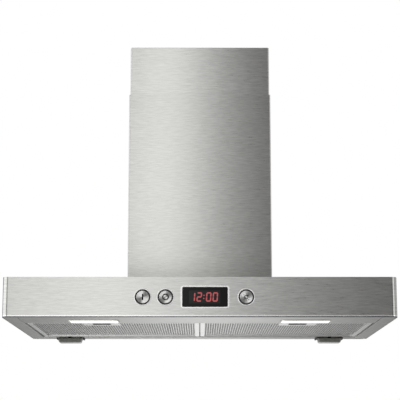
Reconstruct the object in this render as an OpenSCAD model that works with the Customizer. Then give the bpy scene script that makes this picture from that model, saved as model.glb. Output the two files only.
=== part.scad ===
// Island range hood: a box canopy under a telescoping chimney, hung from a ceiling plate.
// The origin is the centre of the ceiling plate's top face. +Z is up and -Y is the front.

/* [Canopy] */
// Width of the canopy
canopy_w = 900; // [750:10:1200]
// Depth of the canopy, front to back
canopy_d = 600; // [500:10:750]
// Height of the canopy's side walls
canopy_h = 92; // [84:1:130]
// Radius of the canopy's upright corners
canopy_corner_r = 13; // [6:1:24]
// Sheet thickness of the canopy and its panels
sheet = 1.2; // [0.8:0.1:2]
// Width of the underside's flange at the front
front_flange = 24; // [16:1:40]
// Width of the underside's flange at each side
side_flange = 32; // [20:1:60]
// Width of the underside's flange at the back
rear_flange = 41; // [36:1:60]
// How far the underside is set up from the rim
rim_step = 0.8; // [0.5:0.1:3]

/* [Chimney] */
// Width of the lower chimney cover
chimney_w = 346; // [310:1:420]
// Depth of the lower chimney cover
chimney_d = 300; // [280:1:360]
// Height of the lower cover
lower_cover_h = 470; // [420:5:600]
// Height of the upper cover
upper_cover_h = 469; // [420:1:600]
// Length of the upper cover that shows above the lower one
upper_show = 121; // [100:1:200]
// Sheet thickness of the covers
cover_sheet = 1; // [0.8:0.1:1.5]
// Gap between the upper and the lower cover
cover_gap = 1.5; // [1.2:0.1:3]
// Bend radius of the covers' upright edges
cover_r = 3; // [2:0.5:6]
// How far the hood can be lowered from the ceiling
height_travel = 300; // [100:10:300]

/* [Support frame] */
// Leg width of the angle uprights
upright_leg = 25; // [20:1:30]
// Thickness of the angle uprights
upright_t = 2; // [1.5:0.5:3]
// Thickness of the ceiling plate
plate_t = 3; // [2:0.5:6]
// Ceiling bolt spacing, left to right
bolt_span_x = 280; // [260:1:286]
// Ceiling bolt spacing, front to back
bolt_span_y = 140; // [80:1:170]
// Diameter of the ceiling bolt holes
ceiling_hole_d = 8; // [6:0.5:10]
// Diameter of the height bolts
height_bolt_d = 6; // [5:1:8]

/* [Blower] */
// Height of the blower box
box_h = 285; // [270:1:300]
// Outside diameter of the duct collar
collar_d = 149; // [120:1:150]
// Height of the duct collar
collar_h = 55; // [45:1:70]
// Outside diameter of the fan wheel
wheel_d = 120; // [100:1:124]
// Width of the fan wheel
wheel_w = 124; // [90:1:130]
// Number of fan blades
blade_count = 36; // [24:1:48]
// Diameter of the motor shaft
shaft_d = 8; // [6:1:10]
// Diameter of the motor
motor_d = 84; // [70:1:88]

/* [Filters] */
// Distance from the canopy's front to the filters
lamp_zone = 153; // [130:1:180]
// Clear length behind the filters, where the gutter runs
gutter_zone = 33; // [32:1:45]
// Gap between each filter and the canopy's side flange
filter_side_gap = 7.3; // [3:0.1:12]
// Gap between the two filters
filter_centre_gap = 2.4; // [1.5:0.1:6]
// Thickness of a filter
filter_t = 10; // [9:0.5:14]
// Width of the side trims
trim_w = 11; // [8:0.5:16]
// Width of the front and back bars
bar_w = 5; // [4:0.5:8]
// Depth from the trims down to the perforated face
face_step = 3.7; // [2:0.1:5]
// Distance of the filter handles from the middle of the hood
handle_x = 235; // [180:1:300]
// Width of the handle plate
handle_w = 90; // [80:1:120]
// Length of the handle plate
handle_l = 60; // [54:1:80]
// Width of the finger pocket
pocket_w = 43; // [36:1:60]
// Length of the finger pocket
pocket_l = 34; // [28:1:40]
// Travel of the filter latch
latch_travel = 5; // [3:0.5:6]

/* [Lamps] */
// Distance of each lamp from the middle of the hood
lamp_x = 248; // [200:1:300]
// Distance of the lamps behind the canopy's front
lamp_y = 106; // [90:1:115]
// Length of the lamp bezel
lamp_l = 118; // [90:1:130]
// Width of the lamp bezel
lamp_w = 61; // [40:1:66]
// Width of the bezel's rim around the lens
lamp_rim = 3.5; // [2:0.5:6]
// Height of the lamp housing above the lamp panel
lamp_h = 25; // [18:1:32]

/* [Controls] */
// Diameter of the button caps
button_d = 29; // [20:0.5:30]
// Travel of a button
button_travel = 1.5; // [1:0.1:2]
// Place of the power button, from the middle
power_x = -130; // [-150:1:-120]
// Place of the stop button, from the middle
stop_x = -78; // [-86:1:-74]
// Place of the light button, from the middle
light_x = 106; // [102:1:120]
// Place of the display, from the middle
display_x = 12; // [8:1:14]
// Width of the display glass
display_w = 104; // [80:0.5:106]
// Height of the display glass
display_h = 45.6; // [30:0.1:50]

/* [Grease cups] */
// Distance of each cup from the middle of the hood
cup_x = 347; // [300:1:360]
// Width of a cup over its lips
cup_w = 70; // [50:1:80]
// Depth of a cup, front to back
cup_l = 46; // [30:1:52]
// How far a cup hangs below the rim
cup_h = 13; // [10:1:24]
// Wall thickness of a cup
cup_wall = 1.5; // [1.2:0.1:2]

/* [Hidden] */
$fn = 48;
cut = 1; // how far a cutting shape runs past the face that it cuts

// Levels, from the ceiling down
deck_z = -(upper_show + lower_cover_h); // top face of the canopy deck
rim_z = deck_z - canopy_h; // lowest edge of the canopy
under_z = rim_z + rim_step; // visible face of the underside
deck_low = deck_z - sheet;
front_y = -canopy_d / 2;
rear_y = canopy_d / 2;
wall_in_y = front_y + sheet; // inner face of the front wall

// The bay in the underside, which the lamp panel and the filters fill
bay_x = canopy_w / 2 - side_flange;
bay_front = front_y + front_flange;
bay_rear = rear_y - rear_flange;
frame_clear = 0.2; // between the underside frame and the canopy walls
ledge_w = 14; // ledge that the filters lie under
ledge_z = under_z + filter_t + 1.2; // underside of that ledge
ledge_top = ledge_z + sheet;

// Filters
filter_front = front_y + lamp_zone;
filter_back = bay_rear - gutter_zone;
filter_in = filter_centre_gap / 2;
filter_out = bay_x - filter_side_gap;
filter_mid = (filter_in + filter_out) / 2;
filter_top = under_z + filter_t;
face_z = under_z + face_step;
face_t = 0.8;
core_layers = 3;
core_t = 0.5;
core_pitch = (filter_top - face_z - face_t) / core_layers;
lug_span = 130; // each hinge lug, from the filter's middle
lug_w = 8;
pivot_gap = 7; // from the filter's back bar to its hinge axis
pivot_y = filter_back + pivot_gap;
pivot_z = under_z + 7.2;
pivot_r = 2.5;
pivot_clear = 0.1;
ear_r = 5.5;
ear_t = 3;
ear_gap = 0.5; // between a lug and its ears

// Handle and latch, at the front of each filter
handle_back = filter_front + handle_l;
pocket_front = filter_front + 9;
pocket_top = filter_top - 1.2;
latch_w = 24;
latch_z = under_z + 4;
latch_t = 3;
latch_clear = 0.4;
latch_tip = 1.4; // how far the bolt stands out of the filter
latch_tab = 3;

// Divider between the lamp zone and the air plenum
divider_y = filter_front - 2; // its face towards the filters
panel_z = under_z + 0.2; // visible face of the lamp panel
panel_gap = 2; // around the lamp panel

// Gutter and cups
gutter_front = pivot_y + 7;
gutter_z = under_z + 5.2;
gutter_wall = 1;
gutter_end = bay_x - ledge_w - 4;
spout_y = gutter_front + 10;
spout_r = 4;
lip_t = 1.5;
lip_w = 3;
lip_z = rim_z - 0.8; // top of a cup's lips
cup_front = bay_rear - 15;
rail_clear = 0.3;
rail_t = 1.2;
cup_draft = 3; // how much narrower the cup is at its floor

// Chimney covers
lower_in_w = chimney_w - 2 * cover_sheet;
lower_in_d = chimney_d - 2 * cover_sheet;
upper_w = lower_in_w - 2 * cover_gap;
upper_d = lower_in_d - 2 * cover_gap;
upper_in_w = upper_w - 2 * cover_sheet;
upper_in_d = upper_d - 2 * cover_sheet;
upper_top = -1;
seam = 0.5; // gap between a front and a back half
lap_w = 24;
lap_t = 0.8;

// Uprights
upright_gap = 3.5; // from the upper cover to the lower uprights
low_x = upper_in_w / 2 - upright_gap;
low_y = upper_in_d / 2 - upright_gap;
nest = upright_t + 0.3;
high_x = low_x - nest;
high_y = low_y - nest;
low_top = -30;
high_bottom = low_top - height_travel - 100;
height_bolt_z = -100;
skirt_t = 1.5;
skirt_h = 20;
plate_gap = 0.2; // from the ceiling plate's skirt to the cover
window_w = 220; // opening of the ceiling plate
window_d = 190;
cover_screw_z = -9;
cover_screw_y = 100;
head_t = 1.8;
head_r = 4;
screw_r = 1.9;

// Blower box and scroll
box_x = 134;
box_y = 111;
box_top = deck_z + box_h;
inlet_w = 240; // opening in the deck
inlet_d = 190;
wheel_r = wheel_d / 2;
wheel_x = -40;
wheel_z = deck_z + 110;
scroll_gap = 5; // from the wheel to the scroll at its tongue
scroll_min = wheel_r + scroll_gap;
scroll_max = scroll_min + 30;
tongue_a = 60;
scroll_y = wheel_w / 2 + 8; // inner face of the scroll's sides
outlet_x = 72; // half width of the scroll's outlet
mouth_r = wheel_r - 4;
blade_l = 9;
blade_t = 0.8;
blade_tilt = 35;
collar_r = collar_d / 2;
collar_t = 1.5;
collar_in = collar_r - collar_t;
collar_flange_r = collar_r + 13;
collar_flange_t = 2;
box_screw_r = collar_r + 8;
flap_z = box_top + 14; // axis of the damper flaps
flap_t = 1;
flap_r = collar_in - 1.5;
flap_pin_r = 2;
knuckle_r = 3.5;
knuckle_w = 14;
gland_x = 117;
gland_y = -95;
gland_bore = 4.5;

// Controls
mid_z = rim_z + canopy_h / 2;
button_r = button_d / 2;
button_xs = [power_x, stop_x, light_x];
button_gap = 0.4;
sleeve_r = button_r + 3;
rim_r = sleeve_r + 2.3;
trim_proud = 0.4;
display_r = 3;
display_rim = 3.5;
board_y = front_y + 18; // front face of the control board
board_t = 1.6;
carrier_y = board_y + board_t + 2;
carrier_x0 = power_x - sleeve_r - 10;
carrier_x1 = light_x + sleeve_r + 10;
carrier_h = 76;
carrier_t = 2;
digits_w = 71.6;
digits_h = 28.6;

// Mains control box, hung from the deck beside the right lamp
mains_x0 = 160;
mains_x1 = 330;
mains_y0 = front_y + 35;
mains_y1 = front_y + 140;
mains_h = 44;
mains_t = 1.5;
lamp_cy = front_y + lamp_y;

// ---- helpers ----

// A block between two corners
module block(a, b) {
    translate(a) cube(b - a);
}

// The children, drawn in X and Z, drawn out along Y from y0 to y1
module along_y(y0, y1) {
    translate([0, y1, 0]) rotate([90, 0, 0]) linear_extrude(y1 - y0) children();
}

// The children, drawn in Y and Z, drawn out along X from x0 to x1
module along_x(x0, x1) {
    translate([x0, 0, 0]) rotate([90, 0, 90]) linear_extrude(x1 - x0) children();
}

module rod_y(r, x, y0, y1, z) {
    translate([x, y1, z]) rotate([90, 0, 0]) cylinder(r = r, h = y1 - y0);
}

module rod_x(r, x0, x1, y, z) {
    translate([x0, y, z]) rotate([0, 90, 0]) cylinder(r = r, h = x1 - x0);
}

// A rectangle with round corners, centred
module round_rect(w, d, r) {
    square([w - 2 * r, d], center = true);
    square([w, d - 2 * r], center = true);
    for (x = [-1, 1], y = [-1, 1])
        translate([x * (w / 2 - r), y * (d / 2 - r)]) circle(r = r);
}

module four_corners() {
    for (x = [0, 1], y = [0, 1])
        mirror([x, 0, 0]) mirror([0, y, 0]) children();
}

// The children are drawn for the right side; side is 1 for right and -1 for left
module on_side(side) {
    mirror([side < 0 ? 1 : 0, 0, 0]) children();
}

// An upright angle whose outer corner is at x, y
module angle(x, y, z0, z1) {
    block([x - upright_leg, y - upright_t, z0], [x, y, z1]);
    block([x - upright_t, y - upright_leg, z0], [x, y, z1]);
}

// A pan-head screw that points down, with its head's underside at z
module screw_down(x, y, z, length) {
    translate([x, y, z]) cylinder(r = head_r, h = head_t);
    translate([x, y, z - length]) cylinder(r = screw_r, h = length);
}

module screw_hole(x, y, z, depth) {
    translate([x, y, z - depth - cut]) cylinder(r = screw_r, h = depth + 2 * cut);
}

// ---- ceiling frame ----

module ceiling_plate() {
    w = upper_in_w - 2 * plate_gap;
    d = upper_in_d - 2 * plate_gap;
    color("silver") difference() {
        translate([0, 0, -skirt_h]) linear_extrude(skirt_h) round_rect(w, d, cover_r);
        translate([0, 0, -skirt_h - cut]) linear_extrude(skirt_h - plate_t + cut)
            round_rect(w - 2 * skirt_t, d - 2 * skirt_t, cover_r - 1);
        translate([0, 0, -plate_t - cut]) linear_extrude(plate_t + 2 * cut)
            round_rect(window_w, window_d, 12);
        for (x = [-1, 1], y = [-1, 1])
            translate([x * bolt_span_x / 2, y * bolt_span_y / 2, -plate_t - cut])
                cylinder(r = ceiling_hole_d / 2, h = plate_t + 2 * cut);
        for (y = [-1, 1])
            rod_x(screw_r, -w, w, y * cover_screw_y, cover_screw_z);
    }
}

module upper_uprights() {
    slot_low = height_bolt_z - height_travel - 8;
    slot_high = height_bolt_z + 8;
    slot_y = high_y - upright_leg / 2;
    slot_r = height_bolt_d / 2 + 0.3;
    color("gainsboro") four_corners() difference() {
        angle(high_x, high_y, high_bottom, -plate_t);
        block([high_x - upright_t - cut, slot_y - slot_r, slot_low], [high_x + cut, slot_y + slot_r, slot_high]);
    }
}

// One half of a cover: the front half for half = -1, the back half for 1
module cover_half(w, d, z0, z1, half, lap) {
    inset = lap ? lap_t : 0;
    difference() {
        translate([0, 0, z0]) linear_extrude(z1 - z0) round_rect(w, d, cover_r);
        translate([0, 0, z0 - cut]) linear_extrude(z1 - z0 + 2 * cut)
            round_rect(w - 2 * cover_sheet, d - 2 * cover_sheet, cover_r - cover_sheet);
        block([-w, half > 0 ? -d : -seam / 2, z0 - 2 * cut], [w, half > 0 ? seam / 2 : d, z1 + 2 * cut]);
    }
    // the back half carries the strips that the front half laps over
    if (lap)
        for (side = [-1, 1]) on_side(side)
            block([w / 2 - cover_sheet - inset, -lap_w / 2, z0 + 2], [w / 2 - cover_sheet, lap_w / 2, z1 - 2]);
}

module cover_screw_holes() {
    for (y = [-1, 1])
        rod_x(screw_r, -chimney_w, chimney_w, y * cover_screw_y, cover_screw_z);
}

module upper_cover_front() {
    color("lightgray") difference() {
        cover_half(upper_w, upper_d, upper_top - upper_cover_h, upper_top, -1, false);
        cover_screw_holes();
    }
}

module upper_cover_rear() {
    color("lightgray") difference() {
        cover_half(upper_w, upper_d, upper_top - upper_cover_h, upper_top, 1, false);
        cover_screw_holes();
    }
    color("lightgray") for (side = [-1, 1]) on_side(side)
        block([upper_in_w / 2 - lap_t, -lap_w / 2, upper_top - upper_cover_h + 2],
            [upper_in_w / 2, lap_w / 2, -skirt_h - 2]);
}

module upper_screws() {
    color("silver") for (side = [-1, 1], y = [-1, 1]) on_side(side) {
        rod_x(screw_r, upper_in_w / 2 - 5, upper_w / 2, y * cover_screw_y, cover_screw_z);
        rod_x(head_r - 1, upper_w / 2, upper_w / 2 + 1.2, y * cover_screw_y, cover_screw_z);
    }
}

// ---- canopy ----

module button_holes(r) {
    for (x = button_xs)
        rod_y(r, x, front_y - cut, wall_in_y + cut, mid_z);
}

module deck_points() {
    for (p = [[100, box_y + 10], [low_x - 13, low_y - 13]])
        four_corners() screw_hole(p[0], p[1], deck_z, sheet);
}

module canopy_shell() {
    color("lightgray") difference() {
        translate([0, 0, rim_z]) linear_extrude(canopy_h) round_rect(canopy_w, canopy_d, canopy_corner_r);
        translate([0, 0, rim_z - cut]) linear_extrude(canopy_h - sheet + cut)
            round_rect(canopy_w - 2 * sheet, canopy_d - 2 * sheet, canopy_corner_r - sheet);
        block([-inlet_w / 2, -inlet_d / 2, deck_low - cut], [inlet_w / 2, inlet_d / 2, deck_z + cut]);
        deck_points();
        button_holes(sleeve_r);
        along_y(front_y - cut, wall_in_y + cut)
            translate([display_x, mid_z]) round_rect(display_w, display_h, display_r);
    }
}

module underside_frame() {
    bay_y = (bay_front + bay_rear) / 2;
    bay_l = bay_rear - bay_front;
    color("darkgray") difference() {
        union() {
            translate([0, 0, under_z]) linear_extrude(sheet)
                round_rect(canopy_w - 2 * (sheet + frame_clear), canopy_d - 2 * (sheet + frame_clear),
                    canopy_corner_r - sheet);
            block([-bay_x - sheet, bay_front - sheet, under_z], [bay_x + sheet, bay_rear + sheet, ledge_top]);
        }
        translate([-bay_x, bay_front, under_z - cut]) cube([2 * bay_x, bay_l, ledge_z - under_z + cut]);
        block([-bay_x + ledge_w, bay_front + ledge_w, under_z - cut],
            [bay_x - ledge_w, bay_rear - ledge_w, ledge_top + cut]);
    }
}

module lamp_panel() {
    x = bay_x - panel_gap;
    y0 = bay_front + panel_gap;
    color("darkgray") difference() {
        block([-x, y0, panel_z], [x, divider_y, ledge_z]);
        block([-x + sheet, y0 + sheet, panel_z + sheet], [x - sheet, divider_y + cut, ledge_z + cut]);
        for (side = [-1, 1])
            translate([side * lamp_x, lamp_cy, panel_z - cut]) linear_extrude(sheet + 2 * cut)
                round_rect(lamp_l - 4, lamp_w - 4, 7);
    }
}

module electrics_divider() {
    y = divider_y - sheet;
    x = canopy_w / 2 - sheet - frame_clear;
    color("silver") {
        block([-x, y, ledge_top], [x, divider_y, deck_low]);
        block([-bay_x + panel_gap + sheet, y, panel_z + sheet], [bay_x - panel_gap - sheet, divider_y, ledge_z]);
        block([-bay_x + ledge_w, y, ledge_z], [bay_x - ledge_w, divider_y, ledge_top]);
    }
}

module filter_centre_rail() {
    color("silver") {
        block([-12, divider_y, ledge_top], [12, bay_rear, ledge_top + sheet]);
        block([-sheet / 2, divider_y, ledge_top], [sheet / 2, bay_rear, ledge_top + 12]);
    }
}

// ---- support frame and blower ----

module lower_uprights() {
    bolt_y = high_y - upright_leg / 2;
    color("gainsboro") four_corners() difference() {
        union() {
            angle(low_x, low_y, deck_z, low_top);
            block([low_x - upright_leg, low_y - upright_leg, deck_z], [low_x, low_y, deck_z + upright_t]);
        }
        rod_x(height_bolt_d / 2, low_x - upright_t - cut, low_x + cut, bolt_y, height_bolt_z);
        screw_hole(low_x - 13, low_y - 13, deck_z + upright_t, upright_t);
    }
}

module height_bolts() {
    bolt_y = high_y - upright_leg / 2;
    nut_x = high_x - upright_t - 0.2;
    color("dimgray") four_corners() {
        rod_x(height_bolt_d / 2, nut_x - 7, low_x, bolt_y, height_bolt_z);
        rod_x(height_bolt_d * 0.85, low_x, low_x + 2.4, bolt_y, height_bolt_z);
        translate([nut_x - 5, bolt_y, height_bolt_z]) rotate([0, 90, 0])
            cylinder(r = height_bolt_d * 0.95, h = 5, $fn = 6);
    }
}

module box_flange_points() {
    four_corners() screw_hole(100, box_y + 10, deck_z + sheet, sheet);
}

module collar_points() {
    for (a = [45 : 90 : 315])
        screw_hole(box_screw_r * cos(a), box_screw_r * sin(a), box_top + collar_flange_t, collar_flange_t + sheet);
}

module blower_box() {
    color("gainsboro") difference() {
        union() {
            block([-box_x, -box_y, deck_z], [box_x, box_y, box_top]);
            block([-120, -box_y - 20, deck_z], [120, box_y + 20, deck_z + sheet]);
        }
        block([-box_x + sheet, -box_y + sheet, deck_z - cut], [box_x - sheet, box_y - sheet, box_top - sheet]);
        translate([0, 0, box_top - sheet - cut]) cylinder(r = collar_in, h = sheet + 2 * cut);
        translate([gland_x, gland_y, box_top - sheet - cut]) cylinder(r = 8, h = sheet + 2 * cut);
        box_flange_points();
        collar_points();
    }
}

// Outline of the scroll in X and Z, moved outwards by t; top is the height of its open end
function scroll_outline(t, top) = concat(
    [for (a = [tongue_a + (t > 0 ? 5 : 0) : 5 : 360])
        let (r = scroll_min + (scroll_max - scroll_min) * (a - tongue_a) / (360 - tongue_a) + t)
        [wheel_x + r * cos(a), wheel_z + r * sin(a)]],
    [[wheel_x + scroll_max + t, wheel_z + 40],
     [outlet_x + t, top - 40],
     [outlet_x + t, top],
     [-outlet_x - t, top],
     [-outlet_x - t, top - 12]]
);

module scroll_band() {
    top = box_top - sheet;
    color("gainsboro") difference() {
        along_y(-scroll_y, scroll_y) polygon(scroll_outline(sheet, top));
        along_y(-scroll_y - cut, scroll_y + cut) polygon(scroll_outline(0, top + cut));
    }
}

// One side of the scroll, at y from y0 out to y0 + sheet, with a bell mouth that reaches in
module scroll_side(dir) {
    mouth_l = scroll_y - wheel_w / 2 - 1;
    difference() {
        union() {
            along_y(dir > 0 ? scroll_y : -scroll_y - sheet, dir > 0 ? scroll_y + sheet : -scroll_y)
                polygon(scroll_outline(sheet, box_top - sheet));
            rod_y(mouth_r, wheel_x, dir > 0 ? scroll_y - mouth_l : -scroll_y,
                dir > 0 ? scroll_y : -scroll_y + mouth_l, wheel_z);
        }
        rod_y(mouth_r - sheet, wheel_x, -scroll_y - 2 * cut, scroll_y + 2 * cut, wheel_z);
        if (dir > 0)
            for (a = [90, 210, 330])
                rod_y(screw_r, wheel_x + (mouth_r + 7) * cos(a), scroll_y - cut, scroll_y + sheet + cut,
                    wheel_z + (mouth_r + 7) * sin(a));
    }
}

module scroll_side_front() {
    color("gainsboro") scroll_side(-1);
}

module scroll_side_rear() {
    color("gainsboro") scroll_side(1);
}

module motor() {
    back = scroll_y + sheet;
    color("dimgray") difference() {
        union() {
            rod_y(motor_d / 2, wheel_x, 8, back - 16, wheel_z);
            rod_y(20, wheel_x, back - 16, back, wheel_z);
        }
        rod_y(shaft_d / 2 + 0.1, wheel_x, 8 - cut, back - 10, wheel_z);
    }
}

module motor_bracket() {
    y0 = scroll_y + sheet;
    color("silver") difference() {
        union() {
            rod_y(24, wheel_x, y0, y0 + 3, wheel_z);
            for (a = [90, 210, 330])
                translate([wheel_x, y0, wheel_z]) rotate([0, -a, 0]) translate([0, 0, -7])
                    cube([mouth_r + 14, 3, 14]);
        }
        for (a = [90, 210, 330])
            rod_y(screw_r, wheel_x + (mouth_r + 7) * cos(a), y0 - cut, y0 + 3 + cut,
                wheel_z + (mouth_r + 7) * sin(a));
    }
}

module motor_shaft() {
    color("darkgray") rod_y(shaft_d / 2, wheel_x, -14, scroll_y + sheet - 12, wheel_z);
}

module fan_wheel() {
    half = wheel_w / 2;
    color("lightsteelblue") difference() {
        union() {
            rod_y(wheel_r - 3.5, wheel_x, -1, 1, wheel_z);
            rod_y(14, wheel_x, -12, 4, wheel_z);
            for (end = [-half, half - 2])
                difference() {
                    rod_y(wheel_r, wheel_x, end, end + 2, wheel_z);
                    rod_y(wheel_r - blade_l - 1, wheel_x, end - cut, end + 2 + cut, wheel_z);
                }
            for (i = [0 : blade_count - 1])
                translate([wheel_x, 0, wheel_z]) rotate([0, i * 360 / blade_count, 0])
                    translate([wheel_r - 5.5, 0, 0]) rotate([0, blade_tilt, 0])
                        translate([-blade_l / 2, 1 - half, -blade_t / 2]) cube([blade_l, wheel_w - 2, blade_t]);
        }
        rod_y(shaft_d / 2, wheel_x, -half, half, wheel_z);
    }
}

module outlet_collar() {
    color("dimgray") difference() {
        union() {
            translate([0, 0, box_top]) cylinder(r = collar_flange_r, h = collar_flange_t);
            translate([0, 0, box_top]) cylinder(r = collar_r, h = collar_h);
        }
        translate([0, 0, box_top - cut]) cylinder(r = collar_in - 5, h = collar_h + 2 * cut);
        translate([0, 0, flap_z - flap_t / 2 - 0.2]) cylinder(r = collar_in, h = collar_h);
        rod_y(flap_pin_r, 0, -collar_r - cut, collar_r + cut, flap_z);
        collar_points();
    }
}

module damper_pin() {
    color("silver") rod_y(flap_pin_r, 0, -collar_r + 0.5, collar_r - 0.5, flap_z);
}

// A half disc that hangs on the pin by two knuckles. phase moves them clear of the other flap's
module damper_flap(phase) {
    own = [-3 * knuckle_w + phase * knuckle_w, knuckle_w + phase * knuckle_w];
    other = [for (y = own) y + (phase > 0 ? -knuckle_w : knuckle_w)];
    difference() {
        union() {
            intersection() {
                translate([0, 0, flap_z - flap_t / 2]) cylinder(r = flap_r, h = flap_t);
                block([0.5, -flap_r, flap_z - 2], [flap_r, flap_r, flap_z + 2]);
            }
            for (y = own)
                rod_y(knuckle_r, 0, y + 0.2, y + knuckle_w - 0.2, flap_z);
        }
        for (y = other)
            block([-knuckle_r, y - 0.2, flap_z - 5], [knuckle_r + 1, y + knuckle_w + 0.2, flap_z + 5]);
        for (y = [-flap_r - cut, flap_r])
            block([-1, -flap_r - cut, flap_z - 2], [knuckle_r, -3 * knuckle_w - 0.2, flap_z + 2]);
        block([-1, 3 * knuckle_w + 0.2, flap_z - 2], [knuckle_r, flap_r + cut, flap_z + 2]);
        block([-1, -knuckle_w + 0.2, flap_z - 2], [knuckle_r, knuckle_w - 0.2, flap_z + 2]);
        rod_y(flap_pin_r + 0.1, 0, -collar_r, collar_r, flap_z);
    }
}

module damper_flap_right() {
    color("silver") damper_flap(1);
}

module damper_flap_left() {
    color("silver") mirror([1, 0, 0]) damper_flap(0);
}

module cable_gland() {
    color("dimgray") translate([gland_x, gland_y, box_top - sheet]) difference() {
        union() {
            cylinder(r = 8, h = sheet);
            translate([0, 0, sheet]) cylinder(r = 11, h = 6, $fn = 6);
            translate([0, 0, sheet]) cylinder(r = 9, h = 22);
        }
        translate([0, 0, -cut]) cylinder(r = gland_bore, h = 40);
    }
}

// ---- electrics ----

module mains_box() {
    z0 = deck_low - mains_h;
    color("whitesmoke") difference() {
        block([mains_x0, mains_y0, z0], [mains_x1, mains_y1, deck_low]);
        block([mains_x0 + mains_t, mains_y0 + mains_t, z0 - cut],
            [mains_x1 - mains_t, mains_y1 - mains_t, deck_low - mains_t]);
    }
}

module mains_box_lid() {
    z0 = deck_low - mains_h;
    color("whitesmoke") {
        block([mains_x0, mains_y0, z0 - mains_t], [mains_x1, mains_y1, z0]);
        block([mains_x0 + mains_t + 0.2, mains_y0 + mains_t + 0.2, z0],
            [mains_x1 - mains_t - 0.2, mains_y0 + mains_t + 2, z0 + 6]);
        block([mains_x0 + mains_t + 0.2, mains_y1 - mains_t - 2, z0],
            [mains_x1 - mains_t - 0.2, mains_y1 - mains_t - 0.2, z0 + 6]);
    }
}

module mains_board() {
    top = deck_low - mains_t;
    z = top - 10; // upper face of the board
    color("darkgreen") block([mains_x0 + 6, mains_y0 + 6, z - board_t], [mains_x1 - 6, mains_y1 - 6, z]);
    color("gold") block([mains_x0 + 12, mains_y0 + 12, z - board_t - 22], [mains_x0 + 50, mains_y0 + 46, z - board_t]);
    color("black") translate([mains_x0 + 75, mains_y0 + 30, z - board_t - 20]) cylinder(r = 9, h = 20);
    color("black") translate([mains_x0 + 98, mains_y0 + 30, z - board_t - 20]) cylinder(r = 9, h = 20);
    color("green") block([mains_x0 + 20, mains_y1 - 26, z - board_t - 14], [mains_x0 + 80, mains_y1 - 14, z - board_t]);
    color("silver") for (x = [mains_x0 + 10, mains_x1 - 10], y = [mains_y0 + 10, mains_y1 - 10])
        translate([x, y, z]) cylinder(r = 3, h = 10);
}

module control_board() {
    x0 = carrier_x0 + carrier_t + 0.2;
    x1 = carrier_x1 - carrier_t - 0.2;
    h = carrier_h / 2 - carrier_t - 0.2;
    color("darkgreen") block([x0, board_y, mid_z - h], [x1, board_y + board_t, mid_z + h]);
    color("black") block([display_x - 20, board_y - 4, mid_z + 22], [display_x - 8, board_y, mid_z + 32]);
    color("black") block([display_x + 10, board_y - 2, mid_z + 20], [display_x + 22, board_y, mid_z + 32]);
}

module control_carrier() {
    h = carrier_h / 2;
    color("dimgray") difference() {
        block([carrier_x0, wall_in_y, mid_z - h], [carrier_x1, carrier_y, mid_z + h]);
        block([carrier_x0 + carrier_t, wall_in_y - cut, mid_z - h + carrier_t],
            [carrier_x1 - carrier_t, board_y + board_t, mid_z + h - carrier_t]);
        block([carrier_x0 + 8, wall_in_y - cut, mid_z - h + 8], [carrier_x1 - 8, carrier_y + cut, mid_z + h - 8]);
    }
}

module control_trim() {
    color("silver") {
        for (x = button_xs)
            difference() {
                rod_y(rim_r, x, front_y - trim_proud, front_y, mid_z);
                rod_y(sleeve_r, x, front_y - trim_proud - cut, front_y + cut, mid_z);
            }
        difference() {
            along_y(front_y - trim_proud, front_y) translate([display_x, mid_z])
                round_rect(display_w + 2 * display_rim, display_h + 2 * display_rim, display_r + display_rim);
            along_y(front_y - trim_proud - cut, front_y + cut) translate([display_x, mid_z])
                round_rect(display_w, display_h, display_r);
        }
    }
}

module button_sleeves() {
    color("black") for (x = button_xs)
        difference() {
            union() {
                rod_y(sleeve_r, x, front_y, front_y + 9, mid_z);
                rod_y(sleeve_r + 3, x, wall_in_y, wall_in_y + 1.6, mid_z);
            }
            rod_y(button_r + button_gap, x, front_y - cut, front_y + 9 + cut, mid_z);
        }
}

module switch_bodies() {
    color("black") for (x = button_xs) {
        block([x - 6, board_y - 5, mid_z - 6], [x + 6, board_y, mid_z + 6]);
        rod_y(2, x, board_y - 7, board_y - 5, mid_z);
    }
}

// A button cap with its rim, face and stem
module button(x) {
    face_y = front_y - 1;
    stem_y = board_y - 7 - button_travel - 0.1;
    color("silver") difference() {
        union() {
            rod_y(button_r, x, face_y, front_y + 6, mid_z);
            rod_y(3, x, front_y + 6, stem_y, mid_z);
        }
        difference() {
            rod_y(button_r - 2, x, front_y + 1.5, front_y + 6 + cut, mid_z);
            rod_y(3, x, front_y, front_y + 8, mid_z);
        }
    }
}

module power_button() { button(power_x); }
module stop_button() { button(stop_x); }
module light_button() { button(light_x); }

module display_glass() {
    color("black") along_y(front_y, front_y + 3) translate([display_x, mid_z])
        round_rect(display_w - 0.2, display_h - 0.2, display_r);
}

module display_digits() {
    color("maroon") block([display_x - digits_w / 2, front_y + 3, mid_z - digits_h / 2],
        [display_x + digits_w / 2, board_y, mid_z + digits_h / 2]);
}

// ---- lamps ----

module lamp_housings() {
    low = panel_z - 2;
    top = panel_z + sheet + lamp_h;
    color("dimgray") for (side = [-1, 1]) translate([side * lamp_x, lamp_cy, 0]) difference() {
        union() {
            translate([0, 0, low]) linear_extrude(2) round_rect(lamp_l, lamp_w, 9);
            translate([0, 0, low]) linear_extrude(top - low) round_rect(lamp_l - 4.4, lamp_w - 4.4, 7);
        }
        translate([0, 0, low - cut]) linear_extrude(top - low - sheet + cut)
            round_rect(lamp_l - 2 * lamp_rim, lamp_w - 2 * lamp_rim, 6);
    }
}

module led_boards() {
    z = panel_z + lamp_h; // underside of the housing's roof
    color("white") for (side = [-1, 1]) translate([side * lamp_x, lamp_cy, 0]) {
        translate([-lamp_l / 2 + 8, -lamp_w / 2 + 9, z - board_t]) cube([lamp_l - 16, lamp_w - 18, board_t]);
        for (i = [-4 : 4], j = [-1, 1])
            translate([i * (lamp_l - 30) / 9 - 1.8, j * lamp_w / 7 - 1.8, z - board_t - 1]) cube([3.6, 3.6, 1]);
    }
}

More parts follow.
